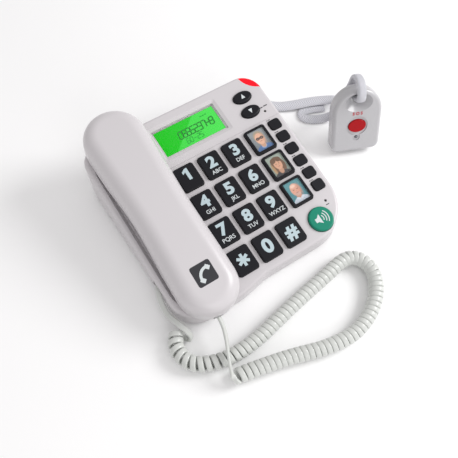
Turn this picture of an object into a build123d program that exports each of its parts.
from build123d import *
import math
import os

# Big-button desk telephone: a wedge-shaped base with a cradle on its left, a corded handset,
# and a pendant transmitter on a neck lanyard. Millimetres. The origin is on the resting
# surface under the middle of the base, +X to the user's right, +Y away from the user, +Z up.

os.makedirs("parts", exist_ok=True)

# ---------------------------------------------------------------- driving dimensions
base_width = 182.5
base_depth = 171.0
front_height = 14.8            # resting surface to the face, at the front edge
face_tilt = 12.0               # slope of the face, degrees
wall = 2.2
feet_height = 1.5
wall_draft = 1.5               # side walls lean out towards the top, degrees
rear_right_radius = 18.0
front_right_radius = 40.0
rear_left_radius = 15.0
front_left_radius = 24.0
cradle_bulge = 5.0             # how far the cradle stands out past the front edge
bulge_run = 26.0               # length of the slant back from the bulge to the front edge
edge_round = 3.0

key_width = 20.0
key_depth = 23.6
key_column_pitch = 25.0
key_row_pitch = 29.25
key_first_x = -18.75           # middle of the left column
key_first_y = 20.0             # middle of the top row, along the face
key_rise = 3.0
key_travel = 2.0
key_gap = 0.45                 # between a key and its hole
key_corner = 2.6
flange_lip = 0.8               # how far a key's flange reaches past its hole
flange_thickness = 1.4
flange_gap = 0.3               # between the flange and the inside of the face

photo_width = 21.6
photo_depth = 25.6
photo_x = 57.75
photo_frame = 2.2              # black border round a picture
photo_pocket = 1.8             # depth of the picture pocket
cover_thickness = 1.0
card_space = 0.5               # room for the paper picture under its cover

function_x = 79.1
function_first_y = 27.4
function_pitch = 14.04
function_width = 11.5
function_depth = 10.0
function_rise = 1.6
function_travel = 1.2

arrow_length = 19.0
arrow_width = 12.0
arrow_up_place = (67.8, 65.8)
arrow_down_place = (66.6, 49.4)
arrow_rise = 2.4
arrow_travel = 1.2

speaker_key_diameter = 23.0
speaker_key_place = (61.75, -71.2)
speaker_key_rise = 2.6
speaker_key_travel = 1.5

window_width = 65.2
window_depth = 29.2
window_place = (7.6, 60.7)
window_thickness = 1.4
window_seat = 1.2              # how far the window sits below the face
window_gap = 0.15
window_ledge = 1.5
bezel_slope = 3.4

lens_inner_sag = 5.0           # how far the lens reaches in from its chord
lens_thickness = 3.0
lens_gap = 0.12

groove_y = 35.6
groove_width = 0.6
groove_depth = 0.4

handset_x = -58.75             # middle of the handset and of its cradle
handset_front = -98.7
handset_rear = 102.6
ear_width = 55.0
waist_width = 50.0
mouth_width = 52.5
handset_underside = 2.0        # ends of the handset above the face
waist_arch = 10.0              # underside above the face at the waist
crown_front = 25.0
crown_middle = 31.0
crown_rear = 26.0
crown_round = 13.0
underside_round = 3.0
handset_seam = 13.0
handset_wall = 2.2
seam_gap = 0.05
cup_width = 43.0
cup_length = 38.0
cup_corner = 15.0
cup_depth = 6.0                # how far a cup reaches below the face
ear_cup_y = 59.5
mouth_cup_y = -62.0

trough_x = -59.6               # the trough is a little left of the handset, for the fingers
trough_width = 54.0
trough_front = -83.5
trough_rear = 80.0
trough_depth = 3.5
trough_slope = 3.0
recess_floor_gap = 0.5         # under a cup
recess_side_gap = 2.4          # round a cup
grille_place = (-61.0, 6.0)
grille_radius = 21.0
grille_hole = 2.0
grille_ring = 0.8

plunger_width = 12.0
plunger_depth = 6.0
plunger_rise = 4.0
handset_lift = 90.0

mat_thickness = 1.2
board_thickness = 1.6
board_gap = 0.5

plug_width = 7.6
plug_height = 6.4
plug_length = 12.0
plug_gap = 0.2
jack_wall = 1.6
jack_back = 3.0
cord_jack_y = -39.0
cord_jack_inset = 5.6          # the plug sits in a pocket this far inside the side
cord_jack_swing = 35.0         # the cord leaves forwards, this far out from the side, degrees
cord_jack_height = 10.8
jack_start = 3.0               # depth at which a jack's body starts behind a plug's outer face
line_jack_x = 20.0
line_jack_height = 22.0
line_socket_width = 11.9
line_socket_height = 8.0
line_socket_depth = 13.0
handset_plug_x = -63.0
handset_plug_height = 7.4      # above the face
handset_plug_dip = 8.0         # how far its axis dips below the face, degrees
handset_post_radius = 3.6
handset_screw_places = (-27.0, 31.0)
sound_hole = 1.8

boss_radius = 3.5
boss_places = [(50.5, 72.0), (85.2, -30.0), (-80.0, -16.0), (-80.0, 29.0)]
boss_top_below_face = 11.5
screw_radius = 1.4
screw_head_radius = 2.8
screw_head_height = 1.8
screw_length = 9.0
foot_radius = 6.5
foot_recess = 0.8
foot_places = [(-74, -64), (66, -70), (76, 70), (-74, 70)]
cell_bay_place = (14.0, 38.0)
battery_radius = 5.25
battery_length = 44.5
battery_pitch = 10.9
battery_count = 3
bay_gap = 0.6
door_gap = 0.25
door_thickness = 1.8

speaker_radius = 20.0
speaker_rim_height = 4.0
speaker_magnet_radius = 11.0
speaker_height = 13.0

lead_diameter = 4.6
coil_diameter = 13.0

pendant_width = 47.0
pendant_height = 63.5
pendant_thickness = 16.0
pendant_place = (149.2, -7.6, 0.0)   # middle of the bottom rear edge
pendant_heading = -23.7        # degrees, the width's direction from +X
pendant_lean = 21.6            # degrees back from upright
pendant_wall = 1.8
pendant_seam = 6.5             # thickness of the back shell
pendant_round = 3.6
lanyard_hole = 10.0
lanyard_hole_place = 52.5      # height of the hole on the pendant
button_place = 27.0            # height of the call button on the pendant
button_length = 17.0
button_width = 13.0
button_rise = 0.6
button_travel = 1.0
cell_diameter = 20.0
cell_thickness = 3.2

pendant_corner = 7.0
pendant_seam_gap = 0.25        # the shadow line between the two shells
scoop_length = 27.0
scoop_width = 18.0
scoop_depth = 6.5
button_groove = 0.8
button_gap = 0.35
light_below_button = 12.0
pendant_board_middle = 23.0
pendant_board_length = 36.0

tape_tube = 7.0                # the flat tubular tape gathered to a round
hank_place = (36.0, 97.5)
hank_length = 88.0
hank_depth = 17.0
hank_height = 14.0

mic_hole_place = (79.2, 43.6)
light_hole_place = (76.2, -58.7)
small_hole_radius = 1.3
plunger_y = 46.5
grille_ring_pitch = 4.2

# ---------------------------------------------------------------- derived places
tilt = math.radians(face_tilt)
face_middle_height = front_height + base_depth / 2 * math.tan(tilt)
rear_height = face_middle_height + base_depth / 2 * math.tan(tilt)
face = Plane(origin=(0, 0, face_middle_height), x_dir=(1, 0, 0),
             z_dir=(0, -math.sin(tilt), math.cos(tilt)))
face_front = -base_depth / 2 / math.cos(tilt)
face_rear = base_depth / 2 / math.cos(tilt)
draft_at_floor = rear_height * math.tan(math.radians(wall_draft))
seam_height = feet_height + 4.0
cover_floor = feet_height + wall
handset_length = handset_rear - handset_front
recess_depth = cup_depth + recess_floor_gap
trough_floor = -trough_depth
inside_face = -wall
cradle_right_edge = trough_x + trough_width / 2


def on_face(x, y, height=0.0):
    """The plane parallel to the face whose origin is at x, y on it and height above it."""
    return Plane(origin=face.from_local_coords((x, y, height)), x_dir=face.x_dir, z_dir=face.z_dir)


def save(piece, name):
    """Label a finished piece and write it under its own name."""
    piece.label = name
    export_step(piece, f"parts/{name}.step")


# ---------------------------------------------------------------- outlines of the base
def base_outline(inset):
    """Plan of the base at the floor, drawn in by inset."""
    half_width = base_width / 2 - draft_at_floor
    half_depth = base_depth / 2 - draft_at_floor / 2
    cradle_right = cradle_right_edge
    with BuildSketch() as outline:
        with BuildLine():
            FilletPolyline(
                (-1, half_depth), (-half_width, half_depth),
                (-half_width, -half_depth - cradle_bulge),
                (cradle_right, -half_depth - cradle_bulge),
                (cradle_right + bulge_run, -half_depth),
                (half_width, -half_depth), (half_width, half_depth), (1, half_depth),
                radius=[rear_left_radius, front_left_radius, bulge_run, bulge_run,
                        front_right_radius, rear_right_radius])
            Line((1, half_depth), (-1, half_depth))
        make_face()
        if inset:
            offset(amount=-inset)
    return outline.sketch


def base_block(inset, floor, ceiling):
    """Solid inside the base's walls, from a floor height up to a plane."""
    with BuildPart() as block:
        add(base_outline(inset))
        extrude(amount=rear_height + 8, taper=-wall_draft)
        split(bisect_by=ceiling, keep=Keep.BOTTOM)
        split(bisect_by=Plane.XY.offset(floor), keep=Keep.TOP)
    return block.part


def cradle_block(grow):
    """The trough and the two cup recesses, grown by a wall when they are seen from inside."""
    trough_length = trough_rear - trough_front
    trough_middle = (trough_rear + trough_front) / 2
    with BuildPart() as block:
        with BuildSketch(on_face(trough_x, trough_middle, trough_floor - grow)):
            RectangleRounded(trough_width - 2 * trough_slope + 2 * grow,
                             trough_length - 2 * trough_slope + 2 * grow,
                             front_left_radius - trough_slope - 2)
        with BuildSketch(on_face(trough_x, trough_middle, 0.01)):
            RectangleRounded(trough_width + 2 * grow, trough_length + 2 * grow,
                             front_left_radius - 2)
        loft()
        for cup_y in (ear_cup_y, mouth_cup_y):
            with BuildSketch(on_face(handset_x, cup_y, -recess_depth - grow)):
                RectangleRounded(cup_width + 2 * (recess_side_gap + grow),
                                 cup_length + 2 * (recess_side_gap + grow),
                                 cup_corner + recess_side_gap)
            extrude(amount=recess_depth + grow)
    return block.part


housing_outside = base_block(0, seam_height, face)
housing_inside = base_block(wall, 0, on_face(0, 0, inside_face))
cradle_outside = cradle_block(wall)
cradle_inside = cradle_block(0)


# ---------------------------------------------------------------- keys of the face
dial_names = ("1", "2", "3", "4", "5", "6", "7", "8", "9", "star", "0", "hash")
dial_places = [(key_first_x + column * key_column_pitch, key_first_y - row * key_row_pitch)
               for row in range(4) for column in range(3)]
photo_places = [(photo_x, key_first_y - row * key_row_pitch) for row in range(3)]
function_places = [(function_x, function_first_y - row * function_pitch) for row in range(6)]
flange_top = inside_face - flange_gap
flange_floor = flange_top - flange_thickness


def rounded_cut(width, depth, corner, places, grow):
    """Rounded rectangles at several places of a sketch, each larger all round by grow."""
    with Locations(*places):
        RectangleRounded(width + 2 * grow, depth + 2 * grow, corner + grow)


def oval(length, width, places, grow):
    """Ellipses at several places of a sketch, each larger all round by grow."""
    with Locations(*places):
        Ellipse(length / 2 + grow, width / 2 + grow)


# ---------------------------------------------------------------- corner lens
lens_centre = (base_width / 2 - rear_right_radius, face_rear - rear_right_radius)
lens_reach = rear_right_radius + 6


def lens_plan(grow):
    """Plan of the corner lens on the face: the corner of the base cut by an arc."""
    with BuildSketch() as plan:
        with BuildLine():
            first = (lens_centre[0] + 3, lens_centre[1] + lens_reach)
            last = (lens_centre[0] + lens_reach, lens_centre[1] - 2)
            middle = (lens_centre[0] + 6.5 - grow, lens_centre[1] + 6.5 - grow)
            ThreePointArc(first, middle, last)
            Polyline(last, (lens_centre[0] + lens_reach, lens_centre[1] + lens_reach), first)
        make_face()
    return plan.sketch


def lens_block(grow, floor):
    """Upright block over the corner lens, from a depth below the face to above it."""
    with BuildPart() as block:
        add(on_face(0, 0, floor) * lens_plan(grow))
        extrude(amount=lens_thickness + 12, dir=face.z_dir)
    return block.part


# ---------------------------------------------------------------- jacks
def cord_plug_block(plane, grow, length):
    """Plug-shaped block that goes from its outer face into the housing."""
    with BuildPart() as block:
        with BuildSketch(plane):
            Rectangle(plug_width + 2 * grow, plug_height + 2 * grow)
        extrude(amount=-length)
    return block.part


swing = math.radians(cord_jack_swing)
base_plug_plane = Plane(
    origin=(-base_width / 2 + cord_jack_inset, cord_jack_y, cord_jack_height),
    x_dir=(math.cos(swing), -math.sin(swing), 0), z_dir=(-math.sin(swing), -math.cos(swing), 0))
dip = math.radians(handset_plug_dip)
out_direction = -face.y_dir * math.cos(dip) - face.z_dir * math.sin(dip)
handset_plug_plane = Plane(
    origin=face.from_local_coords((handset_plug_x, handset_front + 0.6, handset_plug_height)),
    x_dir=(1, 0, 0), z_dir=out_direction)


def jack_block(plane):
    """Socket body that holds a cord plug, open at the outer face."""
    with BuildPart() as block:
        with BuildSketch(plane.offset(-jack_start)):
            Rectangle(plug_width + 2 * (plug_gap + jack_wall),
                      plug_height + 2 * (plug_gap + jack_wall))
        extrude(amount=-(plug_length - jack_start + plug_gap + jack_back))
        with BuildSketch(plane):
            Rectangle(plug_width + 2 * plug_gap, plug_height + 2 * plug_gap)
        extrude(amount=-(plug_length + plug_gap), mode=Mode.SUBTRACT)
    return block.part


# ---------------------------------------------------------------- shared small blocks
def post(place, radius, floor, height):
    """Upright round post in the resting frame."""
    with BuildPart() as pillar:
        with BuildSketch(Plane.XY.offset(floor)):
            with Locations(place):
                Circle(radius)
        extrude(amount=height)
    return pillar.part


def face_slab(places, width, depth, corner, floor, height):
    """Flat rounded slabs parallel to the face."""
    with BuildPart() as slab:
        with BuildSketch(on_face(0, 0, floor)):
            with Locations(*places):
                RectangleRounded(width, depth, corner)
        extrude(amount=height)
    return slab.part


bosses = [post(place, boss_radius, 0, rear_height) for place in boss_places]
low_boss_room = face_slab([(80, -28)], 30, 30, 2, -boss_top_below_face, boss_top_below_face)
window_frame = face_slab([window_place], window_width + 6, window_depth + 6, 3, -4.2, 4.2)
line_jack_width = line_socket_width + 2 * jack_wall
line_jack_size = line_socket_height + 2 * jack_wall
housing_hollow = (housing_inside - cradle_outside - window_frame
                  - lens_block(wall, -lens_thickness - wall)
                  - bosses[0] - (bosses[1] - low_boss_room) - bosses[2] - bosses[3])

# ---------------------------------------------------------------- top housing
with BuildPart() as top_housing:
    add(housing_outside)
    fillet(top_housing.faces().sort_by(Axis(face.origin, face.z_dir)).last.edges(), edge_round)
    add(housing_hollow, mode=Mode.SUBTRACT)
    add(cradle_inside, mode=Mode.SUBTRACT)
    with BuildSketch(on_face(0, 0, 1)):
        rounded_cut(key_width, key_depth, key_corner, dial_places, key_gap)
        rounded_cut(photo_width, photo_depth, key_corner, photo_places, key_gap)
        rounded_cut(function_width, function_depth, key_corner, function_places, key_gap)
        oval(arrow_length, arrow_width, (arrow_up_place, arrow_down_place), key_gap)
        with Locations(speaker_key_place):
            Circle(speaker_key_diameter / 2 + key_gap)
        with Locations(mic_hole_place, light_hole_place):
            Circle(small_hole_radius)
    extrude(amount=-(wall + 2), mode=Mode.SUBTRACT)
    with BuildSketch(on_face(*speaker_key_place, inside_face)):
        Circle(speaker_key_diameter / 2 + key_gap)
    extrude(amount=-(flange_gap + flange_thickness + speaker_key_travel + key_gap),
            mode=Mode.SUBTRACT)
    with BuildSketch(on_face(*window_place, 0)):
        RectangleRounded(window_width + 2 * bezel_slope, window_depth + 2 * bezel_slope, 2.4)
    with BuildSketch(on_face(*window_place, -window_seat)):
        RectangleRounded(window_width + 2 * window_gap, window_depth + 2 * window_gap, 0.8)
    loft(mode=Mode.SUBTRACT)
    with BuildSketch(on_face(*window_place, -window_seat)):
        RectangleRounded(window_width + 2 * window_gap, window_depth + 2 * window_gap, 0.8)
    extrude(amount=-window_thickness, mode=Mode.SUBTRACT)
    with BuildSketch(on_face(*window_place, 0)):
        Rectangle(window_width - 2 * window_ledge, window_depth - 2 * window_ledge)
    extrude(amount=-6, mode=Mode.SUBTRACT)
    with BuildSketch(on_face((base_width / 2 + cradle_right_edge) / 2, groove_y, 1)):
        Rectangle(base_width / 2 - cradle_right_edge - 1, groove_width)
    extrude(amount=-(1 + groove_depth), mode=Mode.SUBTRACT)
    add(lens_block(lens_gap, -lens_thickness), mode=Mode.SUBTRACT)
    with BuildSketch(on_face(*grille_place, 1)):
        Circle(grille_radius)
        Circle(grille_radius - grille_ring, mode=Mode.SUBTRACT)
    extrude(amount=-(1 + trough_depth + 0.5), mode=Mode.SUBTRACT)
    with BuildSketch(on_face(*grille_place, 1)):
        Circle(grille_hole / 2)
        for ring in (1, 2, 3, 4):
            with PolarLocations(ring * grille_ring_pitch, 6 * ring):
                Circle(grille_hole / 2)
    extrude(amount=-(wall + trough_depth + 2), mode=Mode.SUBTRACT)
    with BuildSketch(on_face(handset_x, plunger_y, 0)):
        Rectangle(plunger_width + 2 * key_gap, plunger_depth + 2 * key_gap)
    extrude(amount=-(recess_depth + wall + 2), mode=Mode.SUBTRACT)
    add(cord_plug_block(base_plug_plane.offset(16), plug_gap, 16 + jack_start + 4),
        mode=Mode.SUBTRACT)
    with BuildSketch(Plane.XZ.offset(-base_depth)):
        with Locations((line_jack_x, line_jack_height)):
            Rectangle(line_jack_width + 2 * plug_gap, line_jack_size + 2 * plug_gap)
    extrude(amount=base_depth / 2 + 6, mode=Mode.SUBTRACT)
    with BuildSketch(Plane.XY.offset(seam_height)):
        with Locations(*boss_places):
            Circle(screw_radius)
    extrude(amount=screw_length, mode=Mode.SUBTRACT)
save(top_housing.part, "top_housing")

# ---------------------------------------------------------------- bottom cover and what it holds
bay_width = battery_length + 2 * bay_gap
bay_depth = battery_pitch * (battery_count - 1) + 2 * battery_radius + 2 * bay_gap
bay_floor = feet_height + door_thickness
bay_height = 2 * battery_radius + 2 * bay_gap
bay_x, bay_y = cell_bay_place

with BuildPart() as bottom_cover:
    add(base_block(0, feet_height, Plane.XY.offset(seam_height - seam_gap)))
    chamfer(bottom_cover.faces().sort_by(Axis.Z).first.edges(), 1.0)
    add(base_block(wall, cover_floor, Plane.XY.offset(seam_height)), mode=Mode.SUBTRACT)
    with BuildSketch(Plane.XY.offset(feet_height)):
        with Locations(cell_bay_place):
            Rectangle(bay_width + 2 * jack_wall, bay_depth + 2 * jack_wall)
    extrude(amount=door_thickness + bay_height + jack_wall)
    with BuildSketch(Plane.XY.offset(feet_height)):
        with Locations(cell_bay_place):
            Rectangle(bay_width, bay_depth)
    extrude(amount=door_thickness + bay_height, mode=Mode.SUBTRACT)
    with BuildSketch(Plane.XY.offset(cover_floor)):
        with Locations(*boss_places):
            Circle(boss_radius)
    extrude(amount=seam_height - seam_gap - cover_floor)
    with BuildSketch(Plane.XY):
        with Locations(*boss_places):
            Circle(screw_radius + plug_gap)
    extrude(amount=seam_height, mode=Mode.SUBTRACT)
    with BuildSketch(Plane.XY.offset(feet_height)):
        with Locations(*boss_places):
            Circle(screw_head_radius + plug_gap)
    extrude(amount=screw_head_height, mode=Mode.SUBTRACT)
    with BuildSketch(Plane.XY.offset(feet_height)):
        with Locations(*foot_places):
            Circle(foot_radius)
    extrude(amount=foot_recess, mode=Mode.SUBTRACT)
save(bottom_cover.part, "bottom_cover")

with BuildPart() as battery_door:
    with BuildSketch(Plane.XY.offset(feet_height)):
        with Locations(cell_bay_place):
            Rectangle(bay_width - 2 * door_gap, bay_depth - 2 * door_gap)
    extrude(amount=door_thickness)
    with BuildSketch(Plane.XY.offset(feet_height)):
        with Locations((bay_x - bay_width / 2 + 8, bay_y)):
            with GridLocations(2.4, 0, 3, 1):
                SlotOverall(12, 1.0, rotation=90)
    extrude(amount=0.6, mode=Mode.SUBTRACT)
save(battery_door.part, "battery_door")

with BuildPart() as batteries:
    with BuildSketch(Plane.YZ.offset(bay_x - battery_length / 2)):
        with Locations((bay_y, bay_floor + bay_gap + battery_radius)):
            with GridLocations(battery_pitch, 0, battery_count, 1):
                Circle(battery_radius)
    extrude(amount=battery_length - 1)
    with BuildSketch(Plane.YZ.offset(bay_x + battery_length / 2 - 1)):
        with Locations((bay_y, bay_floor + bay_gap + battery_radius)):
            with GridLocations(battery_pitch, 0, battery_count, 1):
                Circle(2.0)
    extrude(amount=1)
save(batteries.part, "batteries")

with BuildPart() as rubber_feet:
    with BuildSketch(Plane.XY):
        with Locations(*foot_places):
            Circle(foot_radius - plug_gap)
    extrude(amount=feet_height + foot_recess)
    chamfer(rubber_feet.faces().filter_by(Axis.Z).group_by(Axis.Z)[0].edges(), 0.6)
save(rubber_feet.part, "rubber_feet")

with BuildPart() as case_screws:
    with BuildSketch(Plane.XY.offset(feet_height + 0.1)):
        with Locations(*boss_places):
            Circle(screw_head_radius)
    extrude(amount=screw_head_height - 0.1)
    with BuildSketch(Plane.XY.offset(feet_height + screw_head_height)):
        with Locations(*boss_places):
            Circle(screw_radius - 0.05)
    extrude(amount=screw_length)
    with BuildSketch(Plane.XY.offset(feet_height + 0.1)):
        with Locations(*boss_places):
            SlotOverall(3.4, 0.8)
            SlotOverall(3.4, 0.8, rotation=90)
    extrude(amount=0.9, mode=Mode.SUBTRACT)
save(case_screws.part, "case_screws")

# ---------------------------------------------------------------- display
with BuildPart() as display_window:
    with BuildSketch(on_face(*window_place, -window_seat - window_thickness)):
        RectangleRounded(window_width, window_depth, 0.7)
    extrude(amount=window_thickness)
save(display_window.part, "display_window")

with BuildPart() as lcd_module:
    with BuildSketch(on_face(*window_place, -4.3)):
        Rectangle(window_width + 2, window_depth + 2)
    extrude(amount=-2.2)
    with BuildSketch(on_face(*window_place, -6.5)):
        Rectangle(window_width + 5, window_depth + 5)
    extrude(amount=-board_thickness)
save(lcd_module.part, "lcd_module")

with BuildPart() as alert_lens:
    add(housing_outside)
    fillet(alert_lens.faces().sort_by(Axis(face.origin, face.z_dir)).last.edges(), edge_round)
    add(lens_block(0, -lens_thickness + lens_gap), mode=Mode.INTERSECT)
save(alert_lens.part, "alert_lens")

# ---------------------------------------------------------------- mat, boards and speaker
mat_top = flange_floor - key_travel - flange_gap
board_top = mat_top - mat_thickness
board_left = key_first_x - key_width / 2 - 2.5
board_right = function_x + function_width / 2 - 1.2
board_front = key_first_y - 3 * key_row_pitch - key_depth / 2 - 2.0
board_rear = key_first_y + key_depth / 2 + 2.0


def board_slab(top, thickness, shrink):
    """Flat slab under the keys that keeps clear of the walls."""
    with BuildPart() as slab:
        with BuildSketch(on_face((board_left + board_right) / 2, (board_front + board_rear) / 2, top)):
            Rectangle(board_right - board_left - 2 * shrink, board_rear - board_front - 2 * shrink)
        extrude(amount=-thickness)
        add(base_block(wall + board_gap + shrink, 0, face), mode=Mode.INTERSECT)
    return slab.part


with BuildPart() as keypad_mat:
    add(board_slab(mat_top, mat_thickness, 1.0))
save(keypad_mat.part, "keypad_mat")

with BuildPart() as main_board:
    add(board_slab(board_top, board_thickness, 0))
    with BuildSketch(on_face(20, -15, board_top - board_thickness)):
        Rectangle(14, 10)
    extrude(amount=-2.4)
    with BuildSketch(on_face(handset_x, plunger_y, -recess_depth - wall - 13)):
        Rectangle(24, 16)
    extrude(amount=-board_thickness)
save(main_board.part, "main_board")

speaker_top = -trough_depth - wall - 0.2
speaker_axis = on_face(*grille_place, speaker_top)
with BuildPart() as loudspeaker:
    with BuildSketch(speaker_axis):
        Circle(speaker_radius)
    extrude(amount=-speaker_rim_height)
    with BuildSketch(speaker_axis.offset(-speaker_rim_height)):
        Circle(speaker_radius - 3)
    with BuildSketch(speaker_axis.offset(-8.0)):
        Circle(speaker_magnet_radius)
    loft()
    with BuildSketch(speaker_axis.offset(-8.0)):
        Circle(speaker_magnet_radius)
    extrude(amount=-(speaker_height - 8.0))
    with BuildSketch(speaker_axis):
        Circle(speaker_radius - 3)
    with BuildSketch(speaker_axis.offset(-3.0)):
        Circle(speaker_magnet_radius - 3)
    loft(mode=Mode.SUBTRACT)
save(loudspeaker.part, "loudspeaker")

with BuildPart() as hook_plunger:
    with BuildSketch(on_face(handset_x, plunger_y, -cup_depth - 0.2)):
        RectangleRounded(plunger_width, plunger_depth, 1.5)
    extrude(amount=-(wall + plunger_rise + 4.6))
    fillet(hook_plunger.faces().sort_by(Axis(face.origin, face.z_dir)).last.edges(), 0.8)
    with BuildSketch(on_face(handset_x, plunger_y, -recess_depth - wall - plunger_rise - 0.4)):
        Rectangle(plunger_width + 4, plunger_depth + 3)
    extrude(amount=-1.4)
save(hook_plunger.part, "hook_plunger")

# ---------------------------------------------------------------- jacks and base plug
with BuildPart() as cord_jack:
    add(jack_block(base_plug_plane))
    add(base_block(wall + plug_gap, 0, face), mode=Mode.INTERSECT)
save(cord_jack.part, "cord_jack")

with BuildPart() as base_plug:
    add(cord_plug_block(base_plug_plane, 0, plug_length))
    fillet(base_plug.edges().filter_by(Axis(base_plug_plane.origin, base_plug_plane.z_dir)), 0.5)
save(base_plug.part, "base_plug")

line_jack_front = base_depth / 2 - 1.0
with BuildPart() as line_jack:
    with BuildSketch(Plane.XZ.offset(-line_jack_front)):
        with Locations((line_jack_x, line_jack_height)):
            Rectangle(line_jack_width, line_jack_size)
    extrude(amount=line_socket_depth + jack_back)
    with BuildSketch(Plane.XZ.offset(-line_jack_front)):
        with Locations((line_jack_x, line_jack_height)):
            Rectangle(line_socket_width, line_socket_height)
    extrude(amount=line_socket_depth, mode=Mode.SUBTRACT)
save(line_jack.part, "line_jack")


# ---------------------------------------------------------------- keys
def plain_key(place, width, depth, rise, travel_corner):
    """A rounded key with its flange under the face."""
    with BuildPart() as key:
        with BuildSketch(on_face(*place, flange_floor)):
            RectangleRounded(width, depth, travel_corner)
        extrude(amount=rise - flange_floor)
        fillet(key.faces().sort_by(Axis(face.origin, face.z_dir)).last.edges(), 0.7)
        with BuildSketch(on_face(*place, flange_floor)):
            RectangleRounded(width + 2 * (key_gap + flange_lip),
                             depth + 2 * (key_gap + flange_lip), travel_corner)
        extrude(amount=flange_thickness)
    return key.part


for name, place in zip(dial_names, dial_places):
    save(plain_key(place, key_width, key_depth, key_rise, key_corner), f"key_{name}")

for number, place in enumerate(function_places, start=1):
    with BuildPart() as function_key:
        with BuildSketch(on_face(*place, flange_floor)):
            RectangleRounded(function_width, function_depth, key_corner)
        extrude(amount=function_rise - flange_floor)
        fillet(function_key.faces().sort_by(Axis(face.origin, face.z_dir)).last.edges(), 0.5)
        with BuildSketch(on_face(*place, flange_floor)):
            Rectangle(function_width + 2 * key_gap + flange_lip,
                      function_depth + 2 * key_gap + flange_lip)
        extrude(amount=flange_thickness)
    save(function_key.part, f"function_key_{number}")

for number, place in enumerate(photo_places, start=1):
    with BuildPart() as photo_key:
        add(plain_key(place, photo_width, photo_depth, key_rise, key_corner))
        with BuildSketch(on_face(*place, key_rise)):
            RectangleRounded(photo_width - 2 * photo_frame, photo_depth - 2 * photo_frame, 1.2)
        extrude(amount=-photo_pocket, mode=Mode.SUBTRACT)
    save(photo_key.part, f"photo_key_{number}")
    with BuildPart() as photo_cover:
        with BuildSketch(on_face(*place, key_rise - photo_pocket + card_space)):
            RectangleRounded(photo_width - 2 * photo_frame - 0.1,
                             photo_depth - 2 * photo_frame - 0.1, 1.1)
        extrude(amount=cover_thickness)
    save(photo_cover.part, f"photo_cover_{number}")

for name, place in (("key_up", arrow_up_place), ("key_down", arrow_down_place)):
    with BuildPart() as arrow_key:
        with BuildSketch(on_face(*place, flange_floor)):
            Ellipse(arrow_length / 2, arrow_width / 2)
        extrude(amount=arrow_rise - flange_floor)
        fillet(arrow_key.faces().sort_by(Axis(face.origin, face.z_dir)).last.edges(), 1.6)
        with BuildSketch(on_face(*place, flange_floor)):
            Ellipse(arrow_length / 2 + key_gap + flange_lip, arrow_width / 2 + key_gap + flange_lip)
        extrude(amount=flange_thickness)
    save(arrow_key.part, name)

with BuildPart() as speaker_key:
    with BuildSketch(on_face(*speaker_key_place, flange_floor)):
        Circle(speaker_key_diameter / 2 + key_gap + flange_lip)
    extrude(amount=flange_thickness)
    add(base_block(wall + board_gap, 0, face), mode=Mode.INTERSECT)
    with BuildSketch(on_face(*speaker_key_place, flange_floor)):
        Circle(speaker_key_diameter / 2)
    extrude(amount=speaker_key_rise - flange_floor)
    fillet(speaker_key.faces().sort_by(Axis(face.origin, face.z_dir)).last.edges(), 1.4)
save(speaker_key.part, "speaker_key")

# ---------------------------------------------------------------- handset
handset_middle = (handset_rear + handset_front) / 2
side_plane = Plane(origin=face.from_local_coords((handset_x, 0, 0)),
                   x_dir=face.y_dir, z_dir=face.x_dir)


def height_above_face(shape):
    """Height of a shape's middle above the face."""
    return face.to_local_coords(shape.center()).Z


def handset_block(inset):
    """The handset as one closed form, drawn in by inset."""
    ear = ear_width / 2 - inset
    waist = waist_width / 2 - inset
    mouth = mouth_width / 2 - inset
    ear_y = handset_rear - inset - ear
    mouth_y = handset_front + inset + mouth
    with BuildPart() as block:
        with BuildSketch(on_face(handset_x, 0, -5)):
            with BuildLine():
                Spline((ear, ear_y), (waist, handset_middle), (mouth, mouth_y),
                       tangents=[(0, -1), (0, -1)])
                ThreePointArc((mouth, mouth_y), (0, mouth_y - mouth), (-mouth, mouth_y))
                Spline((-mouth, mouth_y), (-waist, handset_middle), (-ear, ear_y),
                       tangents=[(0, 1), (0, 1)])
                ThreePointArc((-ear, ear_y), (0, ear_y + ear), (ear, ear_y))
            make_face()
        extrude(amount=60)
        with BuildSketch(side_plane) as profile:
            with BuildLine():
                front, rear = handset_front - 6, handset_rear + 6
                Line((front, handset_underside), (mouth_cup_y + cup_length / 2, handset_underside))
                ThreePointArc((mouth_cup_y + cup_length / 2, handset_underside),
                              (handset_middle, waist_arch),
                              (ear_cup_y - cup_length / 2, handset_underside))
                Line((ear_cup_y - cup_length / 2, handset_underside), (rear, handset_underside))
                Line((rear, handset_underside), (rear, crown_rear))
                ThreePointArc((rear, crown_rear), (handset_middle, crown_middle),
                              (front, crown_front))
                Line((front, crown_front), (front, handset_underside))
            make_face()
            if inset:
                offset(amount=-inset, kind=Kind.INTERSECTION)
        extrude(amount=handset_length, both=True, mode=Mode.INTERSECT)
        fillet(block.faces().sort_by(height_above_face).last.edges(), crown_round - inset)
        low_edges = block.edges().filter_by(lambda edge: height_above_face(edge) < waist_arch + 1)
        rims = low_edges.filter_by(
            lambda edge: abs(face.to_local_coords(edge.center()).X - handset_x) > 10
            or abs(face.to_local_coords(edge.center()).Y) > 60)
        fillet(rims, underside_round - inset)
    return block.part


def cup_boss(cup_y, shrink, floor, ceiling):
    """Round-cornered block of an ear or mouth cup between two heights above the face."""
    with BuildPart() as boss:
        with BuildSketch(on_face(handset_x, cup_y, floor)):
            RectangleRounded(cup_width - 2 * shrink, cup_length - 2 * shrink, cup_corner - shrink)
        extrude(amount=ceiling - floor)
        if not shrink:
            fillet(boss.faces().sort_by(height_above_face).first.edges(), 2.0)
    return boss.part


def handset_post(y, radius, floor, ceiling):
    """Round post square to the face, on the handset's middle line."""
    with BuildPart() as pillar:
        with BuildSketch(on_face(handset_x, y, floor)):
            Circle(radius)
        extrude(amount=ceiling - floor)
    return pillar.part


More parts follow.
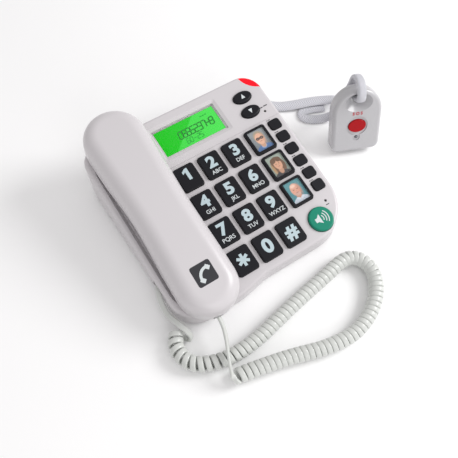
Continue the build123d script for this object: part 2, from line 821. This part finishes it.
handset_outside = handset_block(0)
handset_inside = handset_block(handset_wall)
seam_plane = on_face(0, 0, handset_seam)
screw_floor = waist_arch - 1.5
posts = [handset_post(y, handset_post_radius, -5, 60) for y in handset_screw_places]

with BuildPart() as handset_outer_shell:
    add(handset_outside)
    add(handset_inside - posts[0] - posts[1], mode=Mode.SUBTRACT)
    split(bisect_by=seam_plane, keep=Keep.TOP)
    for post_y in handset_screw_places:
        with BuildSketch(on_face(handset_x, post_y, handset_seam)):
            Circle(screw_radius)
        extrude(amount=6, mode=Mode.SUBTRACT)
save(handset_outer_shell.part, "handset_outer_shell")

with BuildPart() as handset_inner_shell:
    add(handset_outside)
    add(cup_boss(ear_cup_y, 0, -cup_depth, handset_underside + 2))
    add(cup_boss(mouth_cup_y, 0, -cup_depth, handset_underside + 2))
    add(handset_inside - posts[0] - posts[1], mode=Mode.SUBTRACT)
    split(bisect_by=seam_plane.offset(-seam_gap), keep=Keep.BOTTOM)
    add(cup_boss(ear_cup_y, handset_wall, -cup_depth + handset_wall, handset_seam - 4),
        mode=Mode.SUBTRACT)
    add(cup_boss(mouth_cup_y, handset_wall, -cup_depth + handset_wall, handset_seam - 4),
        mode=Mode.SUBTRACT)
    for post_y in handset_screw_places:
        with BuildSketch(on_face(handset_x, post_y, 0)):
            Circle(screw_radius + plug_gap)
        extrude(amount=handset_seam, mode=Mode.SUBTRACT)
        with BuildSketch(on_face(handset_x, post_y, 0)):
            Circle(screw_head_radius + plug_gap)
        extrude(amount=screw_floor, mode=Mode.SUBTRACT)
    with BuildSketch(on_face(handset_x, ear_cup_y, -cup_depth - 1)):
        Circle(sound_hole / 2)
        with PolarLocations(4, 6):
            Circle(sound_hole / 2)
        with PolarLocations(8, 12):
            Circle(sound_hole / 2)
    extrude(amount=handset_wall + 2, mode=Mode.SUBTRACT)
    with BuildSketch(on_face(handset_x, mouth_cup_y, -cup_depth - 1)):
        with GridLocations(3.2, 0, 5, 1):
            SlotOverall(10, sound_hole, rotation=90)
    extrude(amount=handset_wall + 2, mode=Mode.SUBTRACT)
    add(cord_plug_block(handset_plug_plane.offset(4), plug_gap, plug_length), mode=Mode.SUBTRACT)
save(handset_inner_shell.part, "handset_inner_shell")

cup_floor = -cup_depth + handset_wall
with BuildPart() as receiver_capsule:
    with BuildSketch(on_face(handset_x, ear_cup_y, cup_floor + 0.1)):
        Circle(14.5)
        Circle(12.5, mode=Mode.SUBTRACT)
    extrude(amount=1.6)
    with BuildSketch(on_face(handset_x, ear_cup_y, cup_floor + 1.7)):
        Circle(14.5)
    extrude(amount=4.0)
    with BuildSketch(on_face(handset_x, ear_cup_y, cup_floor + 5.7)):
        Circle(7.0)
    extrude(amount=2.5)
save(receiver_capsule.part, "receiver_capsule")

with BuildPart() as handset_mic:
    with BuildSketch(on_face(handset_x, mouth_cup_y, cup_floor + 0.1)):
        Circle(4.85)
    extrude(amount=5.2)
    chamfer(handset_mic.faces().sort_by(height_above_face).last.edges(), 0.5)
save(handset_mic.part, "handset_mic")

with BuildPart() as handset_weight:
    with BuildSketch(on_face(handset_x, handset_middle, handset_seam + 0.5)):
        RectangleRounded(26, 34, 2)
    extrude(amount=6)
    with BuildSketch(on_face(handset_x, handset_middle, handset_seam + 0.5)):
        with GridLocations(0, 24, 1, 2):
            Circle(2)
    extrude(amount=6, mode=Mode.SUBTRACT)
save(handset_weight.part, "handset_weight")

with BuildPart() as handset_screws:
    with BuildSketch(on_face(handset_x, 0, screw_floor - screw_head_height)):
        with Locations(*[(0, post_y) for post_y in handset_screw_places]):
            Circle(screw_head_radius)
    extrude(amount=screw_head_height)
    with BuildSketch(on_face(handset_x, 0, screw_floor)):
        with Locations(*[(0, post_y) for post_y in handset_screw_places]):
            Circle(screw_radius - 0.05)
    extrude(amount=9)
    with BuildSketch(on_face(handset_x, 0, screw_floor - screw_head_height)):
        with Locations(*[(0, post_y) for post_y in handset_screw_places]):
            SlotOverall(3.4, 0.8)
            SlotOverall(3.4, 0.8, rotation=90)
    extrude(amount=0.9, mode=Mode.SUBTRACT)
save(handset_screws.part, "handset_screws")

with BuildPart() as handset_jack:
    add(jack_block(handset_plug_plane))
    add(handset_inside, mode=Mode.INTERSECT)
save(handset_jack.part, "handset_jack")

with BuildPart() as handset_plug:
    add(cord_plug_block(handset_plug_plane, 0, plug_length))
    fillet(handset_plug.edges().filter_by(
        Axis(handset_plug_plane.origin, handset_plug_plane.z_dir)), 0.5)
save(handset_plug.part, "handset_plug")

# ---------------------------------------------------------------- cord
plug_mouth = handset_plug_plane.origin
base_mouth = base_plug_plane.origin
lead_start = base_mouth + base_plug_plane.z_dir * 10
base_lead_route = [
    tuple(base_mouth), tuple(lead_start), (-94.6, -61.0, 8.2), (-94.8, -71.0, 5.4),
    (-93.4, -79.6, 7.4), (-92.0, -86.5, 10.0)]
coil_route = [
    (-93.0, -82.5, 6.6), (-101.5, -91.0, 6.6), (-104.3, -103.5, 6.6), (-99.5, -115.0, 6.6),
    (-88.0, -122.5, 6.6), (-71.0, -127.3, 6.6), (-46.0, -127.0, 6.6), (-17.0, -120.8, 6.6),
    (13.0, -115.4, 6.6), (38.0, -111.8, 6.6), (54.6, -108.2, 6.6), (65.2, -109.4, 6.6),
    (72.6, -117.6, 6.6), (73.6, -130.0, 6.6), (67.2, -142.6, 6.6), (56.6, -153.2, 6.6),
    (42.0, -161.4, 6.6), (22.0, -166.2, 6.6), (-3.0, -162.6, 6.6), (-27.0, -154.0, 6.6),
    (-50.0, -147.8, 6.6), (-75.0, -142.4, 6.6)]
mouth_start = plug_mouth + out_direction * 12
handset_lead_route = [
    tuple(plug_mouth), tuple(mouth_start), (-66.4, -120.0, 18.2), (-71.0, -130.5, 18.4),
    (-74.8, -139.0, 13.0), (-74.6, -144.2, 6.8)]


def bend_radii(route):
    """One radius for each corner: 0.45 of the shorter run over the tangent of half the turn."""
    points = [Vector(*point) for point in route]
    radii = []
    for before, here, after in zip(points, points[1:], points[2:]):
        first, second = here - before, after - here
        half_turn = math.radians(first.get_angle(second)) / 2
        radii.append(0.45 * min(first.length, second.length) / math.tan(half_turn))
    return radii


def tube(route, diameter):
    """Round tube of straight runs joined by arcs."""
    radii = bend_radii(route)
    with BuildPart() as hose:
        with BuildLine() as path:
            FilletPolyline(*route, radius=radii)
        start = path.wires()[0] ^ 0
        with BuildSketch(Plane(origin=start.position, z_dir=path.wires()[0] % 0)):
            Circle(diameter / 2)
        sweep(path=path.wires()[0])
    length = path.wires()[0].length
    section = math.pi * diameter ** 2 / 4
    print(f"tube of {diameter} mm: {length:.1f} mm long, volume {hose.part.volume:.0f} mm3 for "
          f"{section * length:.0f}, radii {[round(radius, 1) for radius in radii]}")
    return hose.part


with BuildPart() as base_lead:
    add(tube(base_lead_route, lead_diameter))
save(base_lead.part, "base_lead")

with BuildPart() as curly_coil:
    add(tube(coil_route, coil_diameter))
save(curly_coil.part, "curly_coil")

with BuildPart() as handset_lead:
    add(tube(handset_lead_route, lead_diameter))
save(handset_lead.part, "handset_lead")

# ---------------------------------------------------------------- pendant
heading = math.radians(pendant_heading)
lean = math.radians(pendant_lean)
across = Vector(math.cos(heading), math.sin(heading), 0)
behind = Vector(-math.sin(heading), math.cos(heading), 0)
pendant_up = behind * math.sin(lean) + Vector(0, 0, math.cos(lean))
pendant_front = across.cross(pendant_up)


def on_pendant(depth):
    """Plane across the pendant, depth in front of its back, x across and y up it."""
    origin = Vector(*pendant_place) + pendant_front * depth
    return Plane(origin=origin, x_dir=across, z_dir=pendant_front)


def pendant_block(inset):
    """The pendant as one closed form, drawn in by inset."""
    half = pendant_width / 2 - inset
    arch_height = pendant_height - pendant_width / 2
    with BuildPart() as block:
        with BuildSketch(on_pendant(inset)) as plan:
            with BuildLine():
                Line((-half, arch_height), (-half, inset))
                Line((-half, inset), (half, inset))
                Line((half, inset), (half, arch_height))
                ThreePointArc((half, arch_height), (0, arch_height + half), (-half, arch_height))
            make_face()
            fillet(plan.vertices().group_by(Axis.Y)[0], pendant_corner - inset)
        extrude(amount=pendant_thickness - 2 * inset)
        flat_faces = block.faces().sort_by(Axis(pendant_place, pendant_front))
        fillet(flat_faces.first.edges() + flat_faces.last.edges(), pendant_round - inset)
    return block.part


def pendant_scoop(grow):
    """The oval hollow round the lanyard hole, grown by a wall when it is seen from inside."""
    with BuildPart() as scoop:
        with BuildSketch(on_pendant(pendant_thickness + 0.01)):
            with Locations((0, lanyard_hole_place - 2)):
                Ellipse(scoop_length / 2 + grow, scoop_width / 2 + grow)
        with BuildSketch(on_pendant(pendant_thickness - scoop_depth - grow)):
            with Locations((0, lanyard_hole_place)):
                Circle(lanyard_hole / 2 + 0.6 + grow)
        loft()
    return scoop.part


def pendant_bore(radius, floor, ceiling):
    """Round block through the pendant at the lanyard hole."""
    with BuildPart() as bore:
        with BuildSketch(on_pendant(floor)):
            with Locations((0, lanyard_hole_place)):
                Circle(radius)
        extrude(amount=ceiling - floor)
    return bore.part


pendant_hollow = (pendant_block(pendant_wall) - pendant_scoop(pendant_wall)
                  - pendant_bore(lanyard_hole / 2 + pendant_wall, 0, pendant_thickness))
pendant_bore_cut = pendant_bore(lanyard_hole / 2, -1, pendant_thickness + 1)
pendant_split = on_pendant(pendant_seam)

with BuildPart() as pendant_back_shell:
    add(pendant_block(0))
    add(pendant_hollow, mode=Mode.SUBTRACT)
    add(pendant_bore_cut, mode=Mode.SUBTRACT)
    split(bisect_by=pendant_split.offset(-pendant_seam_gap), keep=Keep.BOTTOM)
save(pendant_back_shell.part, "pendant_back_shell")

with BuildPart() as pendant_front_shell:
    add(pendant_block(0))
    add(pendant_hollow, mode=Mode.SUBTRACT)
    add(pendant_bore_cut, mode=Mode.SUBTRACT)
    add(pendant_scoop(0), mode=Mode.SUBTRACT)
    split(bisect_by=pendant_split, keep=Keep.TOP)
    with BuildSketch(on_pendant(pendant_thickness - button_groove)):
        with Locations((0, button_place)):
            Circle(button_length / 2 + 1.6)
        with Locations((0, button_place - light_below_button)):
            Circle(3.6)
    extrude(amount=3, mode=Mode.SUBTRACT)
    with BuildSketch(on_pendant(pendant_thickness - pendant_wall - 1)):
        with Locations((0, button_place)):
            Ellipse(button_length / 2 + button_gap, button_width / 2 + button_gap)
        with Locations((0, button_place - light_below_button)):
            Circle(1.5)
    extrude(amount=4, mode=Mode.SUBTRACT)
save(pendant_front_shell.part, "pendant_front_shell")

with BuildPart() as pendant_button:
    with BuildSketch(on_pendant(pendant_thickness - pendant_wall - 1.3)):
        with Locations((0, button_place)):
            Ellipse(button_length / 2 + 1.0, button_width / 2 + 1.0)
    extrude(amount=1.0)
    with BuildSketch(on_pendant(pendant_thickness - pendant_wall - 1.3)):
        with Locations((0, button_place)):
            Ellipse(button_length / 2, button_width / 2)
    extrude(amount=pendant_wall + 1.3 + button_rise)
    fillet(pendant_button.faces().sort_by(Axis(pendant_place, pendant_front)).last.edges(), 0.5)
save(pendant_button.part, "pendant_button")

board_depth = pendant_seam
with BuildPart() as pendant_board:
    with BuildSketch(on_pendant(board_depth)):
        with Locations((0, pendant_board_middle)):
            RectangleRounded(pendant_width - 12, pendant_board_length, 4)
    extrude(amount=1.2)
    with BuildSketch(on_pendant(board_depth + 1.2)):
        with Locations((0, button_place)):
            Rectangle(6, 6)
    extrude(amount=3.0)
    with BuildSketch(on_pendant(board_depth - cell_thickness)):
        with Locations((0, pendant_board_middle)):
            Circle(cell_diameter / 2)
    extrude(amount=cell_thickness)
save(pendant_board.part, "pendant_board")


# ---------------------------------------------------------------- lanyard
def beside_pendant(x, y, depth):
    """A point beside the pendant: across it, up it and in front of its back."""
    point = Vector(*pendant_place) + across * x + pendant_up * y + pendant_front * depth
    return (point.X, point.Y, point.Z)


lanyard_top_route = [
    beside_pendant(0, lanyard_hole_place, -7),
    beside_pendant(0, lanyard_hole_place, 19), beside_pendant(0, 60, 24.5),
    beside_pendant(0, 71, 21), beside_pendant(0, 76, 11), beside_pendant(0, 74, 0),
    beside_pendant(0, 65, -7.5), (163.5, 26.0, 42.0), (166.5, 32.0, 25.0), (168.0, 38.0, 10.0),
    (161.0, 46.0, 4.0), (148.0, 53.0, 4.0), (133.0, 58.5, 4.0), (118.0, 66.0, 4.0),
    (104.0, 77.0, 4.0), (94.0, 90.0, 4.0), (82.0, 97.0, 4.0)]
lanyard_loop_route = [
    beside_pendant(0, lanyard_hole_place - 6, -8), (158.0, 21.5, 29.0), (157.0, 24.0, 12.0),
    (150.0, 28.5, 4.0), (140.0, 32.5, 4.0), (132.0, 37.5, 4.0), (128.8, 43.5, 4.0),
    (133.0, 49.0, 4.0), (143.0, 47.5, 4.0), (155.0, 41.5, 4.0)]
with BuildPart() as lanyard:
    add(tube(lanyard_top_route, tape_tube))
    add(tube(lanyard_loop_route, tape_tube))
save(lanyard.part, "lanyard")

with BuildPart() as lanyard_hank:
    with BuildSketch(Plane.XY):
        with Locations(hank_place):
            RectangleRounded(hank_length, hank_depth, hank_depth / 2 - 0.5)
    extrude(amount=hank_height)
    fillet(lanyard_hank.faces().sort_by(Axis.Z).last.edges(), 3)
save(lanyard_hank.part, "lanyard_hank")
